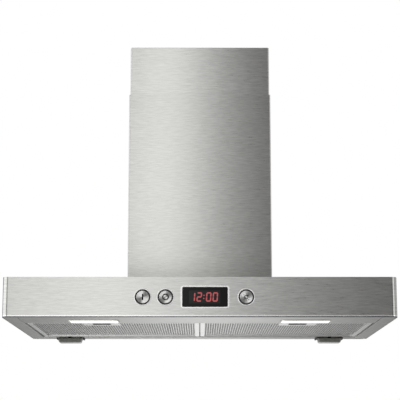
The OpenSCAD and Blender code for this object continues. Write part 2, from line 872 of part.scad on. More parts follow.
module lamp_lens(side) {
    w = lamp_l - 2 * lamp_rim - 0.4;
    d = lamp_w - 2 * lamp_rim - 0.4;
    color("white") translate([side * lamp_x, lamp_cy, panel_z - 1.6]) linear_extrude(2.5) round_rect(w, d, 6);
}

module lamp_lens_left() { lamp_lens(-1); }
module lamp_lens_right() { lamp_lens(1); }

// ---- filters ----

module filter_lug(x) {
    block([x - lug_w / 2, filter_back - cut, pivot_z - 1.5], [x + lug_w / 2, pivot_y, pivot_z + 1.5]);
    rod_x(pivot_r, x - lug_w / 2 - ear_gap - ear_t, x + lug_w / 2 + ear_gap + ear_t, pivot_y, pivot_z);
}

module filter_frame() {
    color("gainsboro") difference() {
        union() {
            block([filter_in, filter_front, under_z], [filter_out, filter_back, filter_top]);
            for (s = [-1, 1]) filter_lug(filter_mid + s * lug_span);
        }
        block([filter_in + trim_w, filter_front + bar_w, under_z - cut],
            [filter_out - trim_w, filter_back - bar_w, filter_top + cut]);
        // the front bar is cut away where the handle stands
        block([handle_x - handle_w / 2, filter_front - cut, under_z - cut],
            [handle_x + handle_w / 2, filter_front + bar_w + cut, filter_top + cut]);
    }
}

// The area inside the frame, less the handle, from z0 to z1
module filter_fill(z0, z1) {
    difference() {
        block([filter_in + trim_w, filter_front + bar_w, z0], [filter_out - trim_w, filter_back - bar_w, z1]);
        block([handle_x - handle_w / 2, filter_front, z0 - cut], [handle_x + handle_w / 2, handle_back, z1 + cut]);
    }
}

module filter_face() {
    color("silver") filter_fill(face_z, face_z + face_t);
}

// Layers of thin mesh above the face
module filter_core() {
    color("darkgray") for (i = [1 : core_layers])
        filter_fill(face_z + face_t + i * core_pitch - core_t, face_z + face_t + i * core_pitch);
}

module filter_handle() {
    channel = latch_w / 2 + latch_clear;
    color("silver") difference() {
        block([handle_x - handle_w / 2, filter_front, under_z], [handle_x + handle_w / 2, handle_back, filter_top]);
        block([handle_x - pocket_w / 2, pocket_front, under_z - cut],
            [handle_x + pocket_w / 2, pocket_front + pocket_l, pocket_top]);
        block([handle_x - channel, filter_front - cut, latch_z - latch_clear],
            [handle_x + channel, pocket_front + cut, latch_z + latch_t + latch_clear]);
    }
}

module filter_latch() {
    tab_y = pocket_front + 1;
    color("dimgray") {
        block([handle_x - latch_w / 2, filter_front - latch_tip, latch_z],
            [handle_x + latch_w / 2, tab_y + latch_tab, latch_z + latch_t]);
        block([handle_x - latch_w / 2, tab_y, under_z + 1.2], [handle_x + latch_w / 2, tab_y + latch_tab, latch_z]);
    }
}

module filter_left_frame() { on_side(-1) filter_frame(); }
module filter_left_face() { on_side(-1) filter_face(); }
module filter_left_core() { on_side(-1) filter_core(); }
module filter_left_handle() { on_side(-1) filter_handle(); }
module filter_left_latch() { on_side(-1) filter_latch(); }
module filter_right_frame() { filter_frame(); }
module filter_right_face() { filter_face(); }
module filter_right_core() { filter_core(); }
module filter_right_handle() { filter_handle(); }
module filter_right_latch() { filter_latch(); }

// ---- gutter and grease cups ----

// A pair of ears that a filter's lug hangs in, open at the top so that the filter lifts out
module filter_ears(x) {
    near = x - lug_w / 2 - ear_gap - ear_t;
    far = x + lug_w / 2 + ear_gap;
    for (x0 = [near, far]) difference() {
        union() {
            rod_x(ear_r, x0, x0 + ear_t, pivot_y, pivot_z);
            block([x0, pivot_y, gutter_z], [x0 + ear_t, gutter_front, pivot_z + ear_r]);
        }
        rod_x(pivot_r + pivot_clear, x0 - cut, x0 + ear_t + cut, pivot_y, pivot_z);
        block([x0 - cut, pivot_y - pivot_r - pivot_clear, pivot_z],
            [x0 + ear_t + cut, pivot_y + pivot_r + pivot_clear, pivot_z + ear_r + cut]);
    }
}

module grease_gutter() {
    color("darkgray") difference() {
        union() {
            difference() {
                block([-gutter_end, gutter_front, gutter_z], [gutter_end, bay_rear, ledge_z]);
                block([-gutter_end + gutter_wall, gutter_front + gutter_wall, gutter_z + gutter_wall],
                    [gutter_end - gutter_wall, bay_rear - gutter_wall, ledge_z + cut]);
            }
            for (side = [-1, 1]) on_side(side) {
                for (s = [-1, 1]) filter_ears(filter_mid + s * lug_span);
                translate([cup_x, spout_y, rim_z - 0.5]) cylinder(r = spout_r, h = gutter_z - rim_z + 1);
            }
        }
        for (side = [-1, 1])
            translate([side * cup_x, spout_y, rim_z - cut]) cylinder(r = spout_r - 1, h = 20);
    }
}

module cup_rails() {
    outer = cup_w / 2 + rail_clear + rail_t;
    rail_low = lip_z - lip_t - rail_clear - rail_t;
    color("dimgray") for (side = [-1, 1], hand = [-1, 1])
        translate([side * cup_x, 0, 0]) on_side(hand) {
            block([outer - rail_t, bay_rear + 1, rail_low], [outer, rear_y - 2, under_z]);
            block([outer - rail_t - lip_w + 0.4, bay_rear + 1, rail_low], [outer, rear_y - 2, rail_low + rail_t]);
            block([outer - 14, bay_rear + 1, lip_z + rail_clear], [outer, rear_y - 2, under_z]);
        }
}

// A cup's section in X and Z, moved inwards by t, from z0 to z1
module cup_section(t, z0, z1) {
    top = cup_w / 2 - lip_w - t;
    polygon([[-top + cup_draft, z0], [top - cup_draft, z0], [top, z1], [-top, z1]]);
}

module grease_cup(side) {
    floor_z = rim_z - cup_h;
    color("black") translate([side * cup_x, 0, 0]) difference() {
        union() {
            along_y(cup_front, cup_front + cup_l) cup_section(0, floor_z, lip_z);
            block([-cup_w / 2, cup_front, lip_z - lip_t], [cup_w / 2, cup_front + cup_l, lip_z]);
        }
        along_y(cup_front + cup_wall, cup_front + cup_l - cup_wall)
            cup_section(cup_wall, floor_z + cup_wall, lip_z + cut);
    }
}

module grease_cup_left() { grease_cup(-1); }
module grease_cup_right() { grease_cup(1); }

// ---- lower cover and screws ----

module lower_cover_front() {
    color("lightgray") cover_half(chimney_w, chimney_d, deck_z, -upper_show, -1, false);
}

module lower_cover_rear() {
    color("lightgray") cover_half(chimney_w, chimney_d, deck_z, -upper_show, 1, true);
}

module lower_screws() {
    color("silver") for (side = [-1, 1], z = [deck_z + 40, deck_z + 130])
        on_side(side) rod_x(head_r - 1, chimney_w / 2, chimney_w / 2 + 1.2, -lap_w / 4, z);
}

module hood_screws() {
    color("silver") {
        four_corners() screw_down(100, box_y + 10, deck_z + sheet, 6);
        four_corners() screw_down(low_x - 13, low_y - 13, deck_z + upright_t, 8);
        for (a = [45 : 90 : 315])
            screw_down(box_screw_r * cos(a), box_screw_r * sin(a), box_top + collar_flange_t, 6);
        for (a = [90, 210, 330]) {
            x = wheel_x + (mouth_r + 7) * cos(a);
            z = wheel_z + (mouth_r + 7) * sin(a);
            rod_y(screw_r, x, scroll_y, scroll_y + sheet + 3, z);
            rod_y(head_r, x, scroll_y + sheet + 3, scroll_y + sheet + 3 + head_t, z);
        }
    }
}

ceiling_plate();
upper_uprights();
upper_cover_front();
upper_cover_rear();
upper_screws();
canopy_shell();
underside_frame();
lamp_panel();
electrics_divider();
filter_centre_rail();
lower_uprights();
height_bolts();
blower_box();
scroll_band();
scroll_side_front();
scroll_side_rear();
motor();
motor_bracket();
outlet_collar();
damper_pin();
cable_gland();
mains_box();
mains_box_lid();
mains_board();
control_board();
control_carrier();
control_trim();
button_sleeves();
switch_bodies();
display_glass();
display_digits();
lamp_housings();
led_boards();
lamp_lens_left();
lamp_lens_right();
grease_gutter();
cup_rails();
hood_screws();
lower_cover_front();
lower_cover_rear();
lower_screws();
fan_wheel();
motor_shaft();
damper_flap_left();
damper_flap_right();
power_button();
stop_button();
light_button();
filter_left_frame();
filter_left_face();
filter_left_core();
filter_left_handle();
filter_left_latch();
filter_right_frame();
filter_right_face();
filter_right_core();
filter_right_handle();
filter_right_latch();
grease_cup_left();
grease_cup_right();
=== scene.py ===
"""An island range hood: brushed steel canopy and chimney, mesh filters, lamps and push buttons."""

import math

import bmesh
import bpy
from mathutils import Matrix, Vector


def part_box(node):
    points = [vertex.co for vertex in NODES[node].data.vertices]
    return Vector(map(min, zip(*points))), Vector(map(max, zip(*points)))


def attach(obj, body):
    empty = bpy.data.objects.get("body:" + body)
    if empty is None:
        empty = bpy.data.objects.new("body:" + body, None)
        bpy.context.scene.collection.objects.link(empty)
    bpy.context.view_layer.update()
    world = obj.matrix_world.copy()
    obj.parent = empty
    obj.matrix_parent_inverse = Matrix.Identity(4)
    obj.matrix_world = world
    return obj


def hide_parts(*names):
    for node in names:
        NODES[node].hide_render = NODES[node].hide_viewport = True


bl_info = {
    "name": "Island Range Hood",
    "version": (1, 0, 0),
    "blender": (4, 5, 0),
    "location": "3D View > Sidebar > Hood",
    "description": "Builds an island range hood round its packed frame",
    "category": "Add Mesh",
}

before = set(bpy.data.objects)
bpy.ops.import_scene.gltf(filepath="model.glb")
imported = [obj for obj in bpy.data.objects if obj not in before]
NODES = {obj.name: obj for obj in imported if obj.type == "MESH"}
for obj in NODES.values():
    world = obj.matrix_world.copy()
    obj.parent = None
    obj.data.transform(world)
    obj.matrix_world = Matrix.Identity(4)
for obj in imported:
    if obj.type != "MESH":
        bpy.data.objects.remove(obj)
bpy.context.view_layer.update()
MM = 0.001
SIDES = ("left", "right")
FLAT_FROM = 0.7     # how far a normal points up or down before its face counts as flat


# ---- materials ----

def linear(hex_colour):
    """An sRGB hex colour, such as "C8C8C4", as the linear colour that a shader takes."""
    parts = [int(hex_colour[i:i + 2], 16) / 255 for i in (0, 2, 4)]
    return tuple(c / 12.92 if c <= 0.04045 else ((c + 0.055) / 1.055) ** 2.4 for c in parts) + (1.0,)


def node(tree, kind, inputs=None, **settings):
    """Adds a node. inputs maps each of its sockets to a value, or to the output that feeds it."""
    new = tree.nodes.new("ShaderNode" + kind)
    for key, value in settings.items():
        setattr(new, key, value)
    for key, value in (inputs or {}).items():
        if isinstance(value, bpy.types.NodeSocket):
            tree.links.new(value, new.inputs[key])
        else:
            new.inputs[key].default_value = value
    return new


def blank(name):
    """A new material with an empty tree, and its output node."""
    material = bpy.data.materials.new(name)
    material.use_nodes = True
    material.node_tree.nodes.clear()
    return material, material.node_tree, node(material.node_tree, "OutputMaterial")


def is_flat(tree):
    """1 on faces that lie nearly level, 0 on upright ones."""
    facing = node(tree, "SeparateXYZ", {0: node(tree, "TexCoord").outputs["Normal"]})
    size = node(tree, "Math", {0: facing.outputs["Z"]}, operation="ABSOLUTE")
    return node(tree, "Math", {0: size.outputs[0], 1: FLAT_FROM}, operation="GREATER_THAN").outputs[0]


def grain_vector(tree, along, across):
    """Object coordinates stretched so that a noise on them draws lines: along and across are a line's length and
    pitch in millimetres. Lines run level round upright faces, and left to right on flat ones."""
    place = node(tree, "TexCoord").outputs["Object"]
    long, fine = 1 / (along * MM), 1 / (across * MM)
    upright = node(tree, "Mapping", {"Vector": place, "Scale": (long, long, fine)})
    flat = node(tree, "Mapping", {"Vector": place, "Scale": (long, fine, 1)})
    return node(tree, "Mix", {"Factor": is_flat(tree), "A": upright.outputs[0], "B": flat.outputs[0]},
                data_type="VECTOR").outputs["Result"]


def brush_tangent(tree):
    """The direction across the brushed lines, in which they scatter light: up on upright faces, and front to back
    on flat ones."""
    return node(tree, "Mix", {"Factor": is_flat(tree), "A": (0, 0, 1), "B": (0, 1, 0)},
                data_type="VECTOR").outputs["Result"]


def finish(name, base, metallic=0.0, roughness=0.5, pattern=None, size=1.0, spread=0.05, rough_spread=0.05,
           bump=0.0, detail=3.0, shader=None, brushed=0.0):
    """A surface whose pattern shifts its colour by spread and its roughness by rough_spread, and raises it by bump
    millimetres. pattern is a vector socket maker, or None for a speckle of that size in millimetres. brushed
    stretches the shine across the lines."""
    material, tree, out = blank(name)
    if pattern:
        vector, scale = pattern(tree), 1.0
    else:
        vector, scale = node(tree, "TexCoord").outputs["Object"], 1 / (size * MM)
    noise = node(tree, "TexNoise", {"Vector": vector, "Scale": scale, "Detail": detail, "Roughness": 0.6})
    value = noise.outputs["Fac"]
    colour = linear(base)
    tones = [tuple(min(1.0, c * k) for c in colour[:3]) + (1.0,) for k in (1 - 2 * spread, 1 + 2 * spread)]
    ramp = node(tree, "ValToRGB", {"Fac": value})
    ramp.color_ramp.elements[0].position, ramp.color_ramp.elements[0].color = 0.3, tones[0]
    ramp.color_ramp.elements[1].position, ramp.color_ramp.elements[1].color = 0.7, tones[1]
    rough = node(tree, "MapRange", {"Value": value, "From Min": 0.3, "From Max": 0.7,
                                    "To Min": max(0.02, roughness - rough_spread),
                                    "To Max": roughness + rough_spread})
    inputs = {"Base Color": ramp.outputs["Color"], "Metallic": metallic, "Roughness": rough.outputs["Result"]}
    if bump:
        inputs["Normal"] = node(tree, "Bump", {"Height": value, "Strength": 1.0, "Distance": bump * MM}).outputs[0]
    inputs.update(shader or {})
    if brushed:
        inputs["Anisotropic"], inputs["Tangent"] = brushed, brush_tangent(tree)
    surface = node(tree, "BsdfPrincipled", inputs)
    tree.links.new(surface.outputs[0], out.inputs["Surface"])
    return material


def spun_steel_painted_sheen(name, centre, grooves=0.9):
    """A button face that was turned on a lathe. Its fine circles vary the roughness and stretch the shine outwards,
    and its colour carries painted highlight and painted shade: two bright and two dark sectors that stand in for
    the reflection of the lights on such a face. centre is the button's, and grooves is the pitch of the circles in
    millimetres, coarser than real ones so that they show."""
    material, tree, out = blank(name)
    place = node(tree, "TexCoord")
    centred = node(tree, "Mapping", {"Vector": place.outputs["Object"], "Location": tuple(-c for c in centre),
                                     "Scale": (1, 0, 1)})
    radius = node(tree, "VectorMath", {0: centred.outputs[0]}, operation="LENGTH")
    rings = node(tree, "Math", {0: radius.outputs["Value"], 1: 1 / (grooves * MM)}, operation="MULTIPLY")
    noise = node(tree, "TexNoise", {"W": rings.outputs[0], "Scale": 1.0, "Detail": 2.0, "Roughness": 0.6},
                 noise_dimensions="1D")
    outward = node(tree, "VectorMath", {0: centred.outputs[0]}, operation="NORMALIZE")
    part = node(tree, "SeparateXYZ", {0: centred.outputs[0]})
    angle = node(tree, "Math", {0: part.outputs["Z"], 1: part.outputs["X"]}, operation="ARCTAN2")
    twice = node(tree, "Math", {0: angle.outputs[0], 1: 2.0}, operation="MULTIPLY")
    wave = node(tree, "Math", {0: twice.outputs[0]}, operation="SINE")
    # Painted highlight and painted shade: the colour turns from bright to dark and back twice round the centre
    painted_sector = node(tree, "MapRange", {"Value": wave.outputs[0], "From Min": -0.8, "From Max": 0.8})
    sheen = node(tree, "Mix", {"Factor": painted_sector.outputs["Result"], "A": linear("FDFDFB"), "B": linear("8E8E8C")},
                 data_type="RGBA")
    rough = node(tree, "MapRange", {"Value": noise.outputs["Fac"], "To Min": 0.26, "To Max": 0.4})
    surface = node(tree, "BsdfPrincipled", {"Base Color": sheen.outputs["Result"], "Metallic": 1.0,
                                            "Roughness": rough.outputs["Result"], "Anisotropic": 0.9,
                                            "Tangent": outward.outputs[0]})
    tree.links.new(surface.outputs[0], out.inputs["Surface"])
    return material


def glow(name, base, light, strength):
    """A lit surface, slightly cloudy."""
    material, tree, out = blank(name)
    place = node(tree, "TexCoord")
    noise = node(tree, "TexNoise", {"Vector": place.outputs["Object"], "Scale": 260.0, "Detail": 2.0})
    tone = node(tree, "MapRange", {"Value": noise.outputs["Fac"], "To Min": 0.94 * strength,
                                   "To Max": 1.04 * strength})
    surface = node(tree, "BsdfPrincipled", {"Base Color": linear(base), "Roughness": 0.4,
                                            "Emission Color": linear(light), "Emission Strength": tone.outputs[0]})
    tree.links.new(surface.outputs[0], out.inputs["Surface"])
    return material


MATERIALS = {}


def make_materials(look):
    """Makes each finish once."""
    made = {}
    # Stainless sheet, brushed with a belt: level streaks, brighter and duller by turns, with a soft blurred sheen
    made["stainless"] = finish(
        "stainless brushed", look.steel, 1.0, 0.3, lambda t: grain_vector(t, 22, 2.0), spread=0.075,
        rough_spread=0.03, bump=0.004, detail=4.0, brushed=0.9)
    # The same sheet on the underside, brushed along the length of each panel
    made["stainless panel"] = finish(
        "stainless brushed panel", look.steel, 1.0, 0.3, lambda t: grain_vector(t, 22, 2.0), spread=0.075,
        rough_spread=0.03, bump=0.004, detail=4.0, brushed=0.9)
    # Hot-dip galvanised sheet: dull grey with large soft spangles
    made["galvanised"] = finish("steel galvanised", "A3A7A8", 1.0, 0.42, size=9, spread=0.09, rough_spread=0.08,
                                bump=0.02, detail=1.0)
    # Bright zinc plate on screws and pins: a slightly warm shine with fine pits
    made["zinc"] = finish("steel zinc plated", "BEBDB4", 1.0, 0.24, size=1.5, spread=0.05, rough_spread=0.06,
                          bump=0.01)
    # Anodised aluminium of the filters: pale, even and matt, with fine lines across each bar
    made["aluminium"] = finish(
        "aluminium anodised", look.aluminium, 1.0, 0.3, lambda t: grain_vector(t, 30, 1.4), spread=0.02,
        rough_spread=0.04, bump=0.004, brushed=0.8)
    # Punched aluminium sheet
    made["punched"] = finish("aluminium punched", "E6E6E4", 1.0, 0.32, size=5, spread=0.04, rough_spread=0.05,
                             brushed=0.8)
    # Expanded aluminium mesh in the core, coloured dark grey as painted shade for the layered mesh seen through the
    # holes
    made["core"] = finish("aluminium expanded mesh painted shade", "55575A", 1.0, 0.5, size=2.4, spread=0.22, rough_spread=0.1,
                          bump=0.25, detail=1.0)
    # Chromed zinc casting of the trims: a hard bright mirror with a little haze
    made["chrome"] = finish("zinc chromed", "F6F6F5", 1.0, 0.24, size=6, spread=0.01, rough_spread=0.03)
    # Glass-filled nylon, moulded: black with a fine matt texture
    made["nylon"] = finish("nylon black", "1B1C1D", 0.0, 0.55, size=0.8, spread=0.12, rough_spread=0.1, bump=0.03)
    # White ABS, moulded
    made["white abs"] = finish("abs white", "DCDCD6", 0.0, 0.42, size=1.2, spread=0.015, rough_spread=0.06, bump=0.01)
    # Smoked ABS of the cups: dark grey with a polished skin
    made["smoked"] = finish("abs smoked", "6A6A66", 0.0, 0.24, size=7, spread=0.08, rough_spread=0.05,
                            shader={"Coat Weight": 0.4, "Coat Roughness": 0.08})
    # Enamelled motor shell: near black with a light orange peel
    made["enamel"] = finish("enamel grey", "34373A", 0.0, 0.3, size=1.5, spread=0.06, rough_spread=0.05, bump=0.02)
    # Circuit board: green solder mask over faint copper tracks
    made["board"] = finish("epoxy board green", "1F5A34", 0.0, 0.3, lambda t: grain_vector(t, 8, 1.1), spread=0.18,
                           rough_spread=0.05)
    made["led board"] = finish("epoxy board white", "E6E6E2", 0.0, 0.35, size=1, spread=0.02)
    # Black glass, back printed: a flat mirror with nothing behind it
    made["glass"] = finish("glass black", "050506", 0.0, 0.05, size=30, spread=0.1, rough_spread=0.02,
                           shader={"Specular IOR Level": 0.2})
    # The window over the digits: smoked a little lighter than the glass round it
    made["window"] = finish("glass smoked", "141617", 0.0, 0.08, size=12, spread=0.1, rough_spread=0.02,
                            shader={"Specular IOR Level": 0.25})
    made["digit"] = glow("digit red lit", "30100F", look.digit, 0.7)
    made["lens"] = glow("acrylic frosted lit", "FAFAF6", "FFFDF8", 1.25)
    # Fired enamel in the engraved marks of the buttons; the same black stands as painted shade in the screws' cross
    # recesses and in the filter handles' finger pockets
    made["ink_and_painted_shade"] = finish("enamel black and painted shade", "1C1E1C", 0.0, 0.45, size=0.6, spread=0.1, rough_spread=0.05)
    # Matt black with almost no shine even along its length, on the grease gutter: painted shade that stands in for
    # the shadow in the recess at the rear
    made["gutter_painted_shade"] = finish("black matt painted shade", "111112", 0.0, 0.7, size=0.7, spread=0.15, rough_spread=0.08,
                            bump=0.02, shader={"Specular IOR Level": 0.08})
    MATERIALS.update(made)


# ---- mesh tools ----

SHARP_ANGLE = 35.0     # degrees between faces from which an edge shows as an edge
SQUARE = 0.999         # a normal this near an axis belongs to a face that is square to it

def piece(name, bm, body, materials, replaces=(), crowned=False):
    """Turns a bmesh into a finished piece that rides on a body. Faces square to the axes stay flat, unless the piece
    is crowned: a large folded sheet bulges a little between its edges, and its shading shows that."""
    mesh = bpy.data.meshes.new(name)
    bm.to_mesh(mesh)
    bm.free()
    for key in materials:
        mesh.materials.append(MATERIALS[key])
    mesh.set_sharp_from_angle(angle=math.radians(SHARP_ANGLE))
    for face in mesh.polygons:
        face.use_smooth = crowned or max(abs(c) for c in face.normal) < SQUARE
    obj = bpy.data.objects.new(name, mesh)
    bpy.context.scene.collection.objects.link(obj)
    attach(obj, body)
    if replaces:
        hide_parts(*replaces)
    return obj


def join(target, source, material=0):
    """Adds one bmesh to another, with one of the piece's materials."""
    for face in source.faces:
        face.material_index = material
    mesh = bpy.data.meshes.new("joined")
    source.to_mesh(mesh)
    source.free()
    target.from_mesh(mesh)
    bpy.data.meshes.remove(mesh)
    return target


def round_edges(bm, radius, angle=40.0, segments=2):
    """Rounds each edge that turns by more than angle degrees."""
    sharp = [e for e in bm.edges if e.is_manifold and e.calc_face_angle(0.0) > math.radians(angle)]
    bmesh.ops.bevel(bm, geom=sharp, offset=radius, offset_type="OFFSET", affect="EDGES", segments=segments,
                    profile=0.5, material=-1, clamp_overlap=True)


def flattened(bm):
    """Puts the corners of each face that is square to an axis back on one plane."""
    for face in bm.faces:
        axis = max(range(3), key=lambda i: abs(face.normal[i]))
        if abs(face.normal[axis]) > SQUARE and face.calc_area() > 4 * MM * MM:
            level = sorted(v.co[axis] for v in face.verts)[len(face.verts) // 2]
            for v in face.verts:
                v.co[axis] = level


def softened(node_name, radius):
    """A copy of a CAD node with its edges rounded by radius millimetres."""
    bm = bmesh.new()
    bm.from_mesh(NODES[node_name].data)
    bmesh.ops.remove_doubles(bm, verts=bm.verts, dist=0.004 * MM)
    bmesh.ops.dissolve_limit(bm, angle_limit=math.radians(0.5), verts=bm.verts, edges=bm.edges)
    round_edges(bm, radius * MM)
    flattened(bm)
    return bm


def block(low, high, corner=0.0, axis=2, edge=0.0, segments=6):
    """A box between two corners. The edges along axis are rounded by corner, then the rest by edge, in metres."""
    low, high = Vector(low), Vector(high)
    bm = bmesh.new()
    bmesh.ops.create_cube(bm, size=1.0)
    bmesh.ops.scale(bm, vec=high - low, verts=bm.verts)
    bmesh.ops.translate(bm, vec=(low + high) / 2, verts=bm.verts)
    if corner:
        along = [e for e in bm.edges if abs((e.verts[0].co - e.verts[1].co).normalized()[axis]) > 0.99]
        bmesh.ops.bevel(bm, geom=along, offset=corner, affect="EDGES", segments=segments, profile=0.5, material=-1)
    if edge:
        round_edges(bm, edge)
    return bm


def lathe(profile, centre, axis, steps=64):
    """Spins a profile of (radius, height) pairs, in millimetres, about an axis through centre."""
    bm = bmesh.new()
    points = [bm.verts.new((r * MM, 0, h * MM)) for r, h in profile]
    edges = [bm.edges.new(pair) for pair in zip(points, points[1:])]
    bmesh.ops.spin(bm, geom=points + edges, cent=(0, 0, 0), axis=(0, 0, 1), dvec=(0, 0, 0), angle=math.tau,
                   steps=steps, use_merge=True)
    bmesh.ops.remove_doubles(bm, verts=bm.verts, dist=1e-7)
    bmesh.ops.recalc_face_normals(bm, faces=bm.faces)
    turn = Vector((0, 0, 1)).rotation_difference(Vector(axis)).to_matrix().to_4x4()
    bmesh.ops.transform(bm, matrix=Matrix.Translation(Vector(centre)) @ turn, verts=bm.verts)
    return bm


def framed(bm, axis, width):
    """Opens a window right through a block, leaving a border of width metres round it."""
    ends = sorted((f for f in bm.faces if abs(f.normal[axis]) > 0.99), key=lambda f: -f.calc_area())[:2]
    for end in ends:
        bmesh.ops.inset_region(bm, faces=[end], thickness=width, use_even_offset=True)
    inner = [e for f in ends for e in f.edges]
    bmesh.ops.delete(bm, geom=ends, context="FACES_ONLY")
    bmesh.ops.bridge_loops(bm, edges=inner)
    bmesh.ops.recalc_face_normals(bm, faces=bm.faces)
    return bm


# ---- settings ----

class HoodSizes(bpy.types.PropertyGroup):
    edge: bpy.props.FloatProperty(name="Edge radius", description="Rounding of the sheet edges", default=0.4 * MM,
                                  unit="LENGTH")
    hole_pitch: bpy.props.FloatProperty(name="Hole pitch", description="Spacing of the filter's holes",
                                        default=6.0 * MM, unit="LENGTH")
    hole_size: bpy.props.FloatProperty(name="Hole size", description="Width of one hole", default=3.4 * MM,
                                       unit="LENGTH")
    hole_length: bpy.props.FloatProperty(name="Hole length", description="Length of one hole, front to back",
                                         default=8.0 * MM, unit="LENGTH")
    digit_height: bpy.props.FloatProperty(name="Digit height", description="Height of the lit digits",
                                          default=21.5 * MM, unit="LENGTH")
    stroke: bpy.props.FloatProperty(name="Digit stroke", description="Width of a digit's bars", default=3.0 * MM,
                                    unit="LENGTH")


class HoodLook(bpy.types.PropertyGroup):
    steel: bpy.props.StringProperty(name="Steel", description="Colour of the stainless sheet", default="CBCBC8")
    aluminium: bpy.props.StringProperty(name="Aluminium", description="Colour of the filter frames",
                                        default="F0F0EE")
    digit: bpy.props.StringProperty(name="Digits", description="Colour of the lit digits", default="CE5C60")


def sizes():
    return bpy.context.scene.hood_sizes


# ---- operators ----

class Maker(bpy.types.Operator):
    """Base of the operators that build the hood."""
    bl_idname = "hood.maker"
    bl_label = "Maker"
    bl_options = {"REGISTER", "UNDO"}

    def execute(self, context):
        self.make()
        return {"FINISHED"}

    def make(self):
        pass


class HOOD_OT_finishes(Maker):
    """Makes the materials and puts them on the CAD parts that keep their shape."""
    bl_idname = "hood.finishes"
    bl_label = "Finishes"

    def make(self):
        make_materials(bpy.context.scene.hood_look)
        kept = {
            "galvanised": ["electrics_divider", "filter_centre_rail", "scroll_band", "scroll_side_front",
                           "scroll_side_rear", "motor_bracket"],
            "zinc": ["height_bolts", "hood_screws", "damper_pin", "motor_shaft"],
            "nylon": ["outlet_collar", "cable_gland", "control_carrier", "button_sleeves", "switch_bodies"],
            "white abs": ["mains_box", "mains_box_lid", "fan_wheel"],
            "board": ["mains_board", "control_board"],
            "led board": ["led_boards"],
            "enamel": ["motor"],
            # The core's dark grey is painted shade
            "core": ["filter_left_core", "filter_right_core"],
            "glass": ["display_digits"],
        }
        for key, names in kept.items():
            for name in names:
                for index in range(len(NODES[name].material_slots)):
                    NODES[name].material_slots[index].material = MATERIALS[key]


class HOOD_OT_sheets(Maker):
    """Rounds the edges of the canopy, the covers, the frame and the boxes."""
    bl_idname = "hood.sheets"
    bl_label = "Sheet metal"

    def make(self):
        edge = sizes().edge / MM
        plan = [
            ("canopy_shell", "canopy", "stainless", edge),
            ("underside_frame", "canopy", "stainless panel", edge),
            ("lamp_panel", "canopy", "stainless panel", edge),
            ("lower_cover_front", "lower_cover", "stainless", edge),
            ("lower_cover_rear", "lower_cover", "stainless", edge),
            ("upper_cover_front", "ceiling_frame", "stainless", edge),
            ("upper_cover_rear", "ceiling_frame", "stainless", edge),
            ("ceiling_plate", "ceiling_frame", "galvanised", edge),
            ("upper_uprights", "ceiling_frame", "galvanised", edge),
            ("lower_uprights", "canopy", "galvanised", edge),
            ("blower_box", "canopy", "galvanised", edge),
            # The gutter's black is painted shade for the dark recess at the rear
            ("grease_gutter", "canopy", "gutter_painted_shade", 0.25),
            ("cup_rails", "canopy", "nylon", 0.25),
            ("damper_flap_left", "flap_left", "aluminium", 0.25),
            ("damper_flap_right", "flap_right", "aluminium", 0.25),
        ]
        for name, body, material, radius in plan:
            piece(name + "_piece", softened(name, radius), body, [material], [name], crowned="cover" in name)
        # Two thin rings round the foot of the canopy's walls: a chrome line of painted highlight, standing in for the
        # shine on the fold, over an enamel line of painted shadow, standing in for the dark gap at the rim
        low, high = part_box("canopy_shell")
        proud, corner, wall = 0.12 * MM, 13.1 * MM, 0.5 * MM
        # bright is the painted highlight line and dark the painted shadow line
        bright, dark = (2.3, 4.8), (0.0, 1.9)    # bottom and top of each line, in millimetres above the rim
        painted_rim_lines = bmesh.new()
        for index, (bottom, top) in enumerate((bright, dark)):
            ring = framed(block((low.x - proud, low.y - proud, low.z + bottom * MM),
                                (high.x + proud, high.y + proud, low.z + top * MM), corner=corner, segments=8),
                          2, wall)
            join(painted_rim_lines, ring, index)
        piece("canopy_painted_rim_lines", painted_rim_lines, "canopy", ["chrome", "enamel"])


class HOOD_OT_screws(Maker):
    """Pan-head screws in the sides of the chimney, each with a cross recess drawn in black as painted shade."""
    bl_idname = "hood.screws"
    bl_label = "Chimney screws"

    def screw(self, bm, face, side):
        head = lathe([(0, 0.75), (0.55, 0.75), (0.9, 1.2), (2.1, 1.1), (2.8, 0.6), (3.0, 0.0), (0, 0.0)],
                     face, (side, 0, 0), steps=32)
        join(bm, head)
        # The cross recess: two thin black bars on the head, painted shade where the recess would be dark
        for along in (1, 2):
            half = Vector((0.12, 0.28, 0.28)) * MM
            half[along] = 1.5 * MM
            centre = Vector(face) + Vector((side * 1.1 * MM, 0, 0))
            join(bm, block(centre - half, centre + half), 1)

    def make(self):
        for name, body in (("upper_screws", "ceiling_frame"), ("lower_screws", "lower_cover")):
            bm = bmesh.new()
            low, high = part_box(name)
            rows = sorted({round(v.co.z, 4) for v in NODES[name].data.vertices
                           if abs(v.co.x) > high.x - 0.1 * MM})
            levels = [(rows[0] + rows[-1]) / 2] if len(rows) and rows[-1] - rows[0] < 8 * MM else \
                [rows[0] + 3 * MM, rows[-1] - 3 * MM]
            places = [low.y + 3 * MM, high.y - 3 * MM] if high.y - low.y > 20 * MM else [(low.y + high.y) / 2]
            for side in (-1, 1):
                for z in levels:
                    for y in places:
                        self.screw(bm, (side * (high.x - 1.2 * MM), y, z), side)
            piece(name + "_heads", bm, body, ["zinc", "ink_and_painted_shade"], [name])


